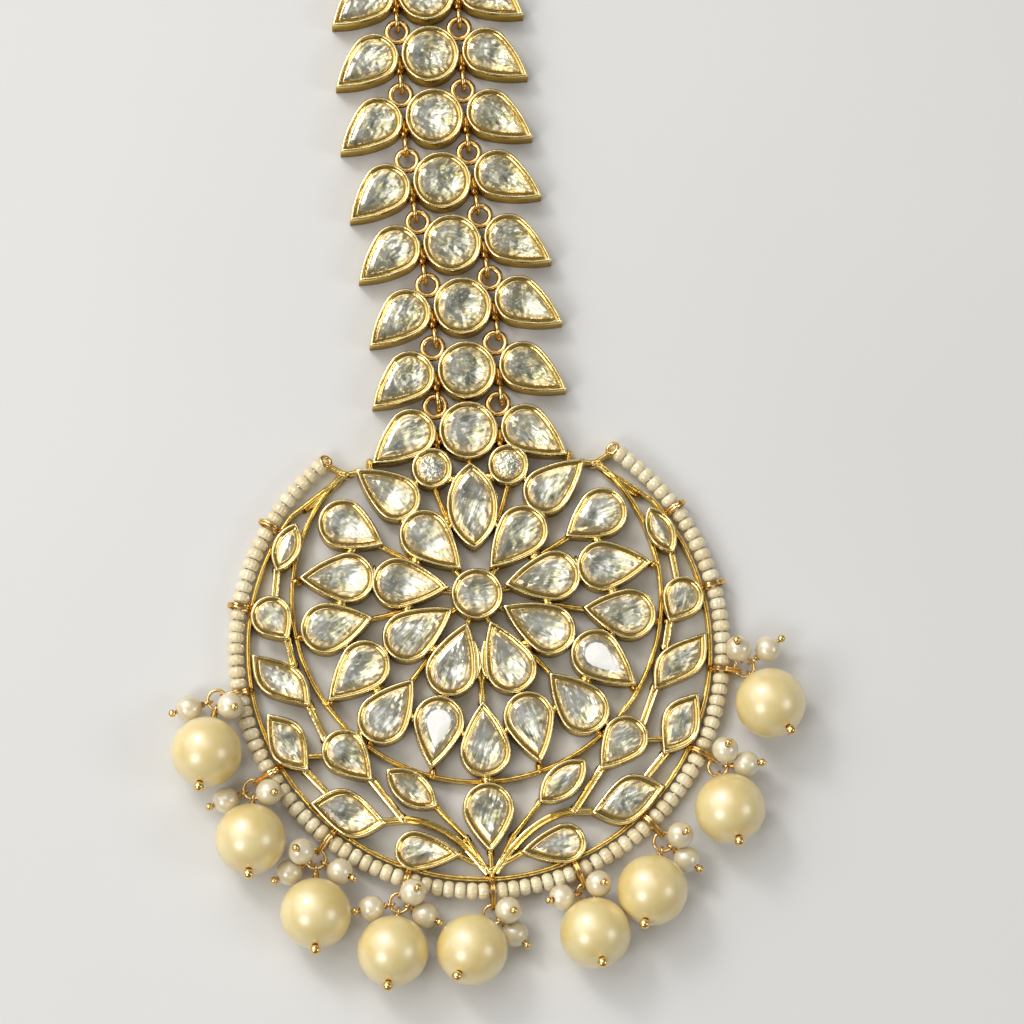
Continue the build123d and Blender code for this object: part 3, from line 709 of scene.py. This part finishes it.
def mirrored(settings):
    """Each setting and its twin on the other side of the Y axis."""
    return settings + [s._replace(x=-s.x, heading=180 - s.heading, skew=-s.skew) for s in settings]


def petal(angle, radius, tip_angle, tip_radius, width):
    """A pear of the flower by the polar places, from +Y, of its round end and its tip."""
    x, y = -radius * sin(radians(angle)), radius * cos(radians(angle))
    tip_x, tip_y = -tip_radius * sin(radians(tip_angle)), tip_radius * cos(radians(tip_angle))
    heading = degrees(atan2(tip_y - y, tip_x - x))
    return gem("pear", x, y, heading, hypot(tip_x - x, tip_y - y) + width / 2, width)


# The settings of the flower, the crescent and a link, and the ribs and stems that join them
centre_setting = gem("round", 0, 0, 0, 6.0, 6.0)
marquise_setting = gem("marquise", 0, 10.25, 90, 10.2, 6.0)
inner_petals = mirrored([
    petal(38.3, 9.1, 29.0, 3.3, 5.9),
    petal(79.3, 9.2, 74.0, 3.25, 5.9),
    petal(119.2, 9.35, 118.0, 3.2, 5.9),
    petal(158.4, 9.4, 158.4, 3.4, 5.9),
])
outer_petals = mirrored([
    petal(36.6, 14.4, 41.1, 20.1, 5.5),
    petal(59.4, 17.35, 59.4, 12.1, 5.8),
    petal(80.0, 14.75, 82.1, 20.5, 5.9),
    petal(100.3, 17.7, 100.2, 12.15, 5.95),
    petal(120.0, 15.25, 123.1, 21.0, 5.9),
    petal(140.4, 18.0, 140.8, 12.2, 5.95),
    petal(160.4, 15.3, 162.6, 20.8, 5.9),
]) + [petal(180, 18.1, 180, 12.3, 5.9)]
accent_settings = mirrored([gem("round", -4.4, 14.85, 0, 4.8, 4.8)])
crescent_settings = mirrored([
    gem("marquise", -21.5, 6.4, 65.9, 6.1, 3.3),
    gem("pear", -23.6, -1.45, -57, 5.8, 4.8),
    gem("leaf", -22.8, -8.9, -44.6, 9.1, 4.6, 0.12),
    gem("leaf", -22.4, -16.05, -57, 8.2, 4.7, -0.08),
    gem("pear", -16.05, -17.35, -49, 7.3, 5.2),
    gem("leaf", -15.9, -24.4, -17.3, 9.1, 5.3, -0.12),
    gem("marquise", -8.6, -21.95, -39.3, 7.2, 3.9),
    gem("pear", -8.6, -29.0, -8, 7.6, 4.6),
]) + [gem("pear", 0, -24.6, -90, 8.0, 5.9)]
link_settings = mirrored([gem("pear", -LINK_PEAR_X, 0, -144, 8.7, 5.7)]) + [
    gem("round", 0, 0, 0, 6.85, 6.85)]
pendant_settings = (
    [marquise_setting] + inner_petals + outer_petals + accent_settings + crescent_settings)
lowest_petals = (inner_petals[3], inner_petals[7])
# Two outer petals whose tables are painted white, a painted reflection
painted_flash_petals = (outer_petals[6], outer_petals[11])

ribs = [
    Rib(-14.4, 14.75, -16.3, 15.9, RIB_WIDTH),
    Rib(-14.4, 14.75, -12.9, 15.0, RIB_WIDTH),
    Rib(-11.5, 15.9, -11.3, 14.4, RIB_WIDTH),
    Rib(-4.2, 12.6, -3.0, 8.9, RIB_WIDTH),
    Rib(-2.9, 8.6, -1.9, 7.7, RIB_WIDTH),
    Rib(-22.7, 4.0, -23.2, 0.4, STEM_WIDTH),
    Rib(-21.9, -4.1, -21.3, -7.0, STEM_WIDTH),
    Rib(-19.8, -11.7, -18.1, -15.8, STEM_WIDTH),
    Rib(-20.8, -17.6, -18.2, -17.6, RIB_WIDTH),
    Rib(-20.4, -19.4, -17.8, -22.3, STEM_WIDTH),
    Rib(-13.0, -20.8, -9.8, -25.2, STEM_WIDTH),
    Rib(-5.9, -24.1, -2.6, -27.9, RIB_WIDTH),
    Rib(-2.6, -27.9, -0.6, -31.4, RIB_WIDTH),
    Rib(-3.6, -29.7, 0.0, -31.6, RIB_WIDTH),
]
middle_ribs = [
    Rib(0, 14.8, 0, 16.2, RIB_WIDTH),
    Rib(0, -8.2, 0, -12.6, 0.8),
    Rib(0, -29.5, 0, -32.4, RIB_WIDTH),
]
long_stem = [
    (-12.1, -25.45), (-9.0, -25.4), (-6.5, -26.15), (-4.2, -27.6), (-2.35, -29.4), (-0.4, -31.9)]

# Where the links and the hook lie, and how the drops are laid out
links = [
    Place(0.2, 26.2, 2.5),
    Place(0.1, 33.8, 4.5),
    Place(-0.7, 41.35, 3.5),
    Place(-1.5, 48.9, 5.0),
    Place(-2.0, 56.6, 2.0),
    Place(-2.1, 64.2, 1.0),
    Place(-2.2, 71.7, 1.0),
]
hook_place = Place(-2.25, 76.1, 1.0)

drops = [
    Drop(-4, 205, 0, 5.8, 257, [Spoke(195, 10), Spoke(325, 72)]),
    Drop(-3, 235, 0, 5.4, 265, [Spoke(200, 10), Spoke(340, 70)]),
    Drop(-2, 245, 0, 5.8, 267, [Spoke(205, 10), Spoke(328, 30), Spoke(155, 72)]),
    Drop(-1, 255, 0, 5.2, 259, [Spoke(189, 20), Spoke(330, 22), Spoke(32, 72)]),
    Drop(0, 265, -15, 4.8, 230, [Spoke(318, 28), Spoke(26, 70)]),
    Drop(1, 285, -15, 4.8, 275, [Spoke(182, 36), Spoke(50, 72)]),
    Drop(2, 290, 0, 5.4, 252, [Spoke(318, 20), Spoke(16, 72)]),
    Drop(3, 300, 0, 4.8, 279, [Spoke(0, 28), Spoke(66, 72)]),
    Drop(4, 20, 0, 4.8, 298, [Spoke(34, 14), Spoke(112, 66)]),
]

# The stones, a field of them to a piece
top_row = flat_axes(Place(0, TOP_ROW_Y, 0))
stone_fields = {
    "centre_stone": [(FLAT, centre_setting)],
    "marquise_stone": [(FLAT, marquise_setting)],
    "inner_petal_stones": [(FLAT, setting) for setting in inner_petals],
    "outer_petal_stones": [(FLAT, setting) for setting in outer_petals],
    "crescent_stones": [(FLAT, setting) for setting in crescent_settings],
    "accent_stones": [(FLAT, setting) for setting in accent_settings],
    "top_row_stones": [(top_row, setting) for setting in link_settings],
}
for number, place in enumerate(links, 1):
    base = flat_axes(place)
    stone_fields[f"link_stones_{number}"] = [(base, setting) for setting in link_settings]
for name, seats in stone_fields.items():
    shell = Shell()
    for base, setting in seats:
        stone(shell, base, setting, setting in painted_flash_petals)
    if name.startswith("link"):
        material = link_stone
    elif name == "accent_stones":
        material = accent_stone
    else:
        material = foil_stone
    piece(f"{name}_cut", shell, [name], material, sharp=12)

# The pendant's metal: bezels, then the rings, ribs and stems, then the solder
shell = Shell()
for setting in [centre_setting] + pendant_settings:
    bezel(shell, FLAT, setting)
for setting in link_settings:
    bezel(shell, top_row, setting)

corner_turn = atan2(CORNER[0], CORNER[1] - FIELD_RING_Y)
field_ring = arc(
    (0, FIELD_RING_Y), FIELD_RING_RADIUS, pi / 2 + corner_turn, 5 * pi / 2 - corner_turn, RING_STEPS)
rail(shell, field_ring, RIB_WIDTH)
rim = arc((0, RIM_Y), RIM_RADIUS, radians(90 + RIM_END), radians(450 - RIM_END), RING_STEPS)
rail(shell, rim, RIB_WIDTH)
for side, end in ((-1, rim[0]), (1, rim[-1])):
    rail(shell, straight(end, (side * CORNER[0], CORNER[1])), RIB_WIDTH)


def radial_rib(radii, turn):
    """A rib between two radii about the flower's centre."""
    start, end = [polar((0, 0), radius, turn) for radius in radii]
    rail(shell, straight(start, end), RIB_WIDTH)


for angle in FORK_TURNS:
    radial_rib(FORK_RIB, radians(90 + angle))
for setting in inner_petals:
    radial_rib(HUB_RIB, atan2(setting.y, setting.x))
for rib in ribs + [rib._replace(x=-rib.x, end_x=-rib.end_x) for rib in ribs] + middle_ribs:
    start, end = np.array([rib.x, rib.y]), np.array([rib.end_x, rib.end_y])
    along = (end - start) / np.linalg.norm(end - start)
    rail(shell, straight(start - along * RIB_BURY, end + along * RIB_BURY), rib.width)
    size = (MOUND_LENGTH, MOUND_SPREAD + rib.width / 2, MOUND_RISE)
    for x, y in (start, end):
        mound = FLAT.moved(x, y, MOUND_HEIGHT).turned(degrees(atan2(along[1], along[0])))
        blob(shell, mound, size, shade=0.65)

# Mounds between bezels that nearly touch
bezel_outlines = []
for setting in pendant_settings:
    outline = level(OUTLINES[setting.shape](setting, 0), 0)
    bezel_outlines.append(setting_axes(FLAT, setting).at(outline)[:, :2])
for first, second in combinations(bezel_outlines, 2):
    gaps = np.linalg.norm(first[:, None] - second, axis=2)
    here, there = np.unravel_index(gaps.argmin(), gaps.shape)
    gap = gaps[here, there]
    if gap < BRIDGE_GAP:
        x, y = (first[here] + second[there]) / 2
        across = second[there] - first[here]
        mound = FLAT.moved(x, y, BRIDGE_HEIGHT).turned(degrees(atan2(across[1], across[0])))
        blob(shell, mound, (gap / 2 + BRIDGE_BURY, BRIDGE_WIDTH, BRIDGE_RISE), shade=0.7)

for side in (-1, 1):
    rail(shell, smooth_run([(-side * x, y) for x, y in long_stem]), STEM_WIDTH)
for side in (-1, 1):
    web = FLAT.moved(side * WEB[0], WEB[1], WEB[2]).turned(-side * WEB_TURN)
    blob(shell, web, WEB_SIZE, shade=0.45)
# The seam swells out of each petal's wall until the two meet
for setting in lowest_petals:
    axes = setting_axes(FLAT, setting)
    wall, outside = [
        axes.at(level(pear_outline(setting, inset), SEAM_HEIGHT)) for inset in (0, -SEAM_OUT)]
    close = np.abs(outside[:, 0]) < SEAM_REACH
    swell = np.sin(np.linspace(SEAM_TAPER, pi - SEAM_TAPER, close.sum()))
    seam = wall[close] + (outside - wall)[close] * swell[:, None]
    tube(shell, seam, SEAM_RADIUS * swell, shades=0.9)
piece("pendant_metal", shell, ["pendant_frame"], gold)

# The pendant's wires: the solder on its field ring, the top row's rings and the bead string's loops
shell = Shell()
for angle in JOINT_TURNS:
    turn = radians(90 + angle)
    x, y = polar((0, FIELD_RING_Y), FIELD_RING_RADIUS - JOINT_INSET, turn)
    blob(shell, FLAT.moved(x, y, JOINT_HEIGHT).turned(degrees(turn)), JOINT_SIZE, shade=0.55)


def solder_plates(shell, base):
    """The solder that joins a link's pears to its round bezel and carries its loops."""
    for side in (-1, 1):
        plate = base.moved(side * LINK_LOOP[0], PLATE_Y, PLATE_HEIGHT)
        blob(shell, plate, PLATE_SIZE, shade=0.45)


def link_rings(shell, base):
    """The flat rings above a link, which the next link's loops run through."""
    for side in (-1, 1):
        ring = base.moved(side * LINK_RING[0], LINK_RING[1], LINK_WIRE_HEIGHT)
        loop_wire(shell, ring, LINK_RING_RADIUS, RING_WIRE, shades=0.8)


def upright(axes):
    """Axes with their X along the old Y, their Y up, and so Z along the old X."""
    return Axes(axes.origin, axes.y, axes.x)


def link_loops(shell, base, x, y):
    """A pair of upright loops, one each side of the middle."""
    for side in (-1, 1):
        loop = upright(base.moved(side * x, y, LINK_WIRE_HEIGHT))
        loop_wire(shell, loop, LINK_LOOP_RADIUS, LINK_WIRE, shades=0.7)


solder_plates(shell, top_row)
link_rings(shell, top_row)


def radial_axes(radius, turn, height):
    """Axes at a point of the rim, a turn from the lowest one: X outwards, Y up, Z along the rim."""
    outwards = np.array([sin(radians(turn)), -cos(radians(turn)), 0])
    return Axes(outwards * radius + (0, RIM_Y, height), outwards, np.cross(outwards, (0, 0, 1)))


# A loop that carries a drop runs out to a narrow nose, and the others are plain rings
lean = acos((LOOP_RADIUS - LOOP_NOSE) / LOOP_REACH)
body = arc((0, 0), LOOP_RADIUS, lean, 2 * pi - lean, 30)
nose = arc((LOOP_REACH, 0), LOOP_NOSE, -lean, lean, 14)
nosed = np.vstack([body, nose])
plain = arc((0, 0), LOOP_RADIUS, 0, 2 * pi, 37)[:-1]
for step in range(1 - END_LOOP, END_LOOP):
    base = radial_axes(BEAD_RADIUS, step * LOOP_PITCH, LOOP_HEIGHT)
    outline = nosed if abs(step) <= DROP_LOOPS else plain
    for side in (-1, 1):
        strand = base.at(level(outline, side * LOOP_SPREAD))
        tube(shell, strand, LOOP_STRAND, closed=True, sides=8, shades=0.85)
    blob(shell, base.moved(-LOOP_RADIUS, -LOOP_FOOT), LOOP_FOOT_SIZE, shade=0.6)
for side in (-1, 1):
    base = radial_axes(BEAD_RADIUS, side * END_LOOP * LOOP_PITCH, END_RING_HEIGHT)
    lean_back = radians(-side * END_RING_LEAN)
    base = Axes(base.origin, base.x, base.z * cos(lean_back) + base.y * sin(lean_back))
    loop_wire(shell, base, END_RING_RADIUS, END_RING_WIRE)
piece("pendant_wires", shell, ["pendant_frame"], shaded_orange_gold)

# The chain
for number, place in enumerate(links, 1):
    base = flat_axes(place)
    shell = Shell()
    for setting in link_settings:
        bezel(shell, base, setting)
    piece(f"link_{number}_metal", shell, [f"link_{number}"], gold)
    shell = Shell()
    solder_plates(shell, base)
    link_rings(shell, base)
    link_loops(shell, base, *LINK_LOOP)
    piece(f"link_{number}_wires", shell, [f"link_{number}"], shaded_orange_gold)

# The hair hook
base = flat_axes(hook_place)
shell = Shell()
link_loops(shell, base, LINK_LOOP[0], 0)
bar = [(x, HOOK_BAR_Y, HOOK_HEIGHT) for x in np.linspace(-HOOK_BAR, HOOK_BAR, 24)]
tube(shell, base.at(bar), HOOK_WIRE, sides=16)
bend = np.vstack([
    straight((0, HOOK_BAR_Y), (0, HOOK_STEM_END), 8)[:-1],
    arc((HOOK_BEND, HOOK_STEM_END), HOOK_BEND, pi, 0, 24),
    straight((2 * HOOK_BEND, HOOK_STEM_END), (2 * HOOK_BEND, HOOK_STEM_END - HOOK_POINT), 8)[1:]])
tube(shell, base.at(level(bend, HOOK_HEIGHT)), HOOK_WIRE, sides=16)
piece("hair_hook_wire", shell, ["hair_hook"], gold)


# The seed beads, strung between the loops
def bead_section(length, size, points=14):
    """A rondelle's closed section about its hole, as (radius, height)."""
    turns = np.linspace(0, 2 * pi, points, endpoint=False)
    radii = BEAD_MIDDLE + BEAD_THICKNESS * np.cos(turns)
    return list(zip(radii * size, length / 2 * np.sin(turns)))


shell = Shell()
span = BEAD_RADIUS * radians(LOOP_PITCH)
pitch = (span - LOOP_ROOM) / BEADS_PER_SPAN
for step in range(-END_LOOP, END_LOOP):
    for bead in range(BEADS_PER_SPAN):
        along = LOOP_ROOM / 2 + pitch * (bead + 0.5)
        turn = step * LOOP_PITCH + degrees(along / BEAD_RADIUS) + rng.normal(0, BEAD_WANDER)
        base = radial_axes(BEAD_RADIUS, turn, LOOP_HEIGHT).turned(rng.uniform(0, 360))
        lean_x, lean_y = rng.normal(0, BEAD_LEAN, 2)
        z = base.z + base.x * lean_x + base.y * lean_y
        z /= np.linalg.norm(z)
        x = base.x - z * base.x.dot(z)
        base = Axes(base.origin, x / np.linalg.norm(x), z)
        size = rng.normal(1, BEAD_UNEVEN)
        section = bead_section(pitch * rng.uniform(*BEAD_FILL), size)
        spin(shell, base, section, 3 * BEAD_FLUTES, ring=True, shades=rng.uniform(0, 1),
             flutes=BEAD_FLUTES, flute_depth=FLUTE_DEPTH)
thread = arc(
    (0, RIM_Y), BEAD_RADIUS, radians(90 + STRING_END), radians(450 - STRING_END), THREAD_STEPS)
tube(shell, level(thread, LOOP_HEIGHT), THREAD_RADIUS, sides=8, shades=0.2)
piece("seed_beads", shell, ["seed_bead_string"], seed_glaze)


# The drops
def drop_axes(drop):
    """Axes of a drop's ring: X along its heading from the loop it hangs in."""
    hang = radial_axes(BEAD_RADIUS + LOOP_REACH, drop.loop * LOOP_PITCH, LOOP_HEIGHT).origin
    heading, tilt = radians(drop.heading), radians(drop.tilt)
    x = np.array([cos(heading) * cos(tilt), sin(heading) * cos(tilt), sin(tilt)])
    return Axes(hang + x * DROP_RING_RADIUS, x, np.cross(x, (-sin(heading), cos(heading), 0)))


def pin_axes(drop, spoke):
    """A head pin's axes: origin in its eye on the drop's ring, Z down the shank."""
    ring = drop_axes(drop)
    turn, lift = radians(spoke.heading - drop.heading), radians(spoke.lift)
    outwards = ring.x * cos(turn) + ring.y * sin(turn)
    along_ring = ring.y * cos(turn) - ring.x * sin(turn)
    origin = ring.origin + outwards * DROP_RING_RADIUS
    return Axes(origin, along_ring, outwards * cos(lift) + ring.z * sin(lift))


def big_spoke(drop):
    """The big pearl's spoke, lifted so that the pearl rests on the floor."""
    ring = drop_axes(drop)
    turn = radians(drop.pearl - drop.heading)
    outwards = ring.x * cos(turn) + ring.y * sin(turn)
    rise = (BIG_PEARL - ring.origin[2] - outwards[2] * DROP_RING_RADIUS) / drop.reach
    lift = asin(rise / hypot(outwards[2], ring.z[2])) - atan2(outwards[2], ring.z[2])
    return Spoke(drop.pearl, degrees(lift))


def pearl(shell, axes, radius, sides, rows):
    """A pearl with a countersunk hole down its Z."""
    start = asin(HOLE_RADIUS / radius)
    section = [(radius * sin(angle), radius * cos(angle))
               for angle in np.linspace(start, pi - start, rows)]
    bore, depth = HOLE_RADIUS * HOLE_SINK, radius * HOLE_SINK
    section += [(bore, -depth), (bore, depth)]
    spin(shell, axes, section, sides, ring=True)


def head_pin(shell, axes, reach, radius, ball):
    """A wire pin for a pearl: an eye, wraps of wire, the shank, and a ball under the pearl."""
    loop_wire(shell, upright(axes), EYE_RADIUS, EYE_WIRE, sides=8, points=28, shades=0.8)
    end = reach + radius + ball + BALL_GAP
    shank = [(0, 0, height) for height in np.linspace(EYE_RADIUS, end, 5)]
    tube(shell, axes.at(shank), SHANK_WIRE, shades=0.7)

    length = reach - radius + WRAP_GAP - EYE_RADIUS
    wraps = max(MIN_WRAPS, length / WRAP_PITCH)
    coil = []
    for part in np.linspace(0, 1, int(wraps * WRAP_STEPS)):
        turn = 2 * pi * wraps * part
        height = EYE_RADIUS + WRAP_GAP + (length - 2 * WRAP_GAP) * part
        coil.append((WRAP_RADIUS * cos(turn), WRAP_RADIUS * sin(turn), height))
    tube(shell, axes.at(coil), WRAP_WIRE, sides=7, shades=0.6)

    angles = np.linspace(BALL_POLE, pi - BALL_POLE, 14)
    section = [(ball * sin(angle), ball * cos(angle)) for angle in angles]
    spin(shell, axes.moved(0, 0, end), section, sides=22, shades=0.95)


small_axes = []
for number, drop in enumerate(drops, 1):
    shell = Shell()
    loop_wire(shell, drop_axes(drop), DROP_RING_RADIUS, DROP_WIRE, sides=12, points=48, shades=0.8)
    piece(f"drop_ring_{number}_wire", shell, [f"drop_ring_{number}"], shaded_orange_gold)

    axes = pin_axes(drop, big_spoke(drop))
    shell = Shell()
    pearl(shell, axes.moved(0, 0, drop.reach), BIG_PEARL, sides=64, rows=40)
    piece(f"big_pearl_{number}_nacre", shell, [f"big_pearl_{number}"], big_nacre)

    shell = Shell()
    head_pin(shell, axes, drop.reach, BIG_PEARL, BIG_BALL)
    piece(f"pearl_pin_{number}_wire", shell, [f"pearl_pin_{number}"], shaded_orange_gold)
    small_axes += [pin_axes(drop, spoke) for spoke in drop.small]

shell = Shell()
for axes in small_axes:
    pearl(shell, axes.moved(0, 0, SMALL_REACH), SMALL_PEARL, sides=40, rows=24)
piece("small_pearls_nacre", shell, ["small_pearls"], small_nacre)
shell = Shell()
for axes in small_axes:
    head_pin(shell, axes, SMALL_REACH, SMALL_PEARL, SMALL_BALL)
piece("small_pins_wire", shell, ["small_pins"], shaded_orange_gold)

# The floor, in metres as the lamps and the camera are
FLOOR_HALF = 2
floor_mesh = bpy.data.meshes.new("floor")
corners = [(x * FLOOR_HALF, y * FLOOR_HALF, 0) for x, y in ((-1, -1), (1, -1), (1, 1), (-1, 1))]
floor_mesh.from_pydata(corners, [], [(0, 1, 2, 3)])
floor_paint, floor_shader = new_material("floor_paint", Roughness=0.75, Specular_IOR_Level=0.25)
cloudy = noise(floor_paint, object_place(floor_paint), 9, 3.0)
pale = ramp(floor_paint, cloudy, (0.3, (0.71, 0.7, 0.68)), (0.7, (0.74, 0.73, 0.71)))
link(floor_paint, pale, floor_shader, "Base Color")
floor_mesh.materials.append(floor_paint)
floor = bpy.data.objects.new("floor", floor_mesh)
bpy.context.scene.collection.objects.link(floor)

# The lamps, round discs that face the aim: direction, distance, width and power in watts
AIM = np.array([-0.002, 0.01, 0.0])
SOFTBOXES = [
    ((-0.55, 0.5, 0.67), 0.8, 1.1, 4.7),
    ((-0.45, 0.55, 0.7), 0.6, 0.16, 0.8),
    ((-0.6, -0.4, 0.69), 0.65, 0.3, 1.2),
    ((0.75, -0.2, 0.6), 0.7, 0.3, 0.7),
    ((0.0, 0.25, 0.97), 0.9, 0.5, 0.55),
]
for number, (direction, distance, width, power) in enumerate(SOFTBOXES, 1):
    lamp = bpy.data.lights.new(f"softbox_{number}", "AREA")
    lamp.shape, lamp.size, lamp.energy = "DISK", width, power
    box = bpy.data.objects.new(f"softbox_{number}", lamp)
    away = np.array(direction) / np.linalg.norm(direction)
    box.location = AIM + away * distance
    box.rotation_euler = (acos(away[2]), 0, atan2(away[0], -away[1]))
    bpy.context.scene.collection.objects.link(box)

world = bpy.data.worlds.new("studio")
bpy.context.scene.world = world
world.use_nodes = True
background = world.node_tree.nodes["Background"]
background.inputs["Color"].default_value = (1.0, 0.99, 0.97, 1)
background.inputs["Strength"].default_value = 0.2

# The camera, about ten degrees off straight above, on the drops' side
CAMERA_PLACE = (-0.01874, -0.07036, 0.45429)
CAMERA_TURN = (10.13, -2.39, -3.13)  # degrees about X, Y and Z
CAMERA_LENS, CAMERA_SENSOR = 140.6, 36
lens = bpy.data.cameras.new("camera")
lens.lens, lens.sensor_width = CAMERA_LENS, CAMERA_SENSOR
camera = bpy.data.objects.new("camera", lens)
camera.location = CAMERA_PLACE
camera.rotation_euler = [radians(turn) for turn in CAMERA_TURN]
bpy.context.scene.collection.objects.link(camera)
bpy.context.scene.camera = camera
bpy.context.scene.view_settings.view_transform = "Standard"
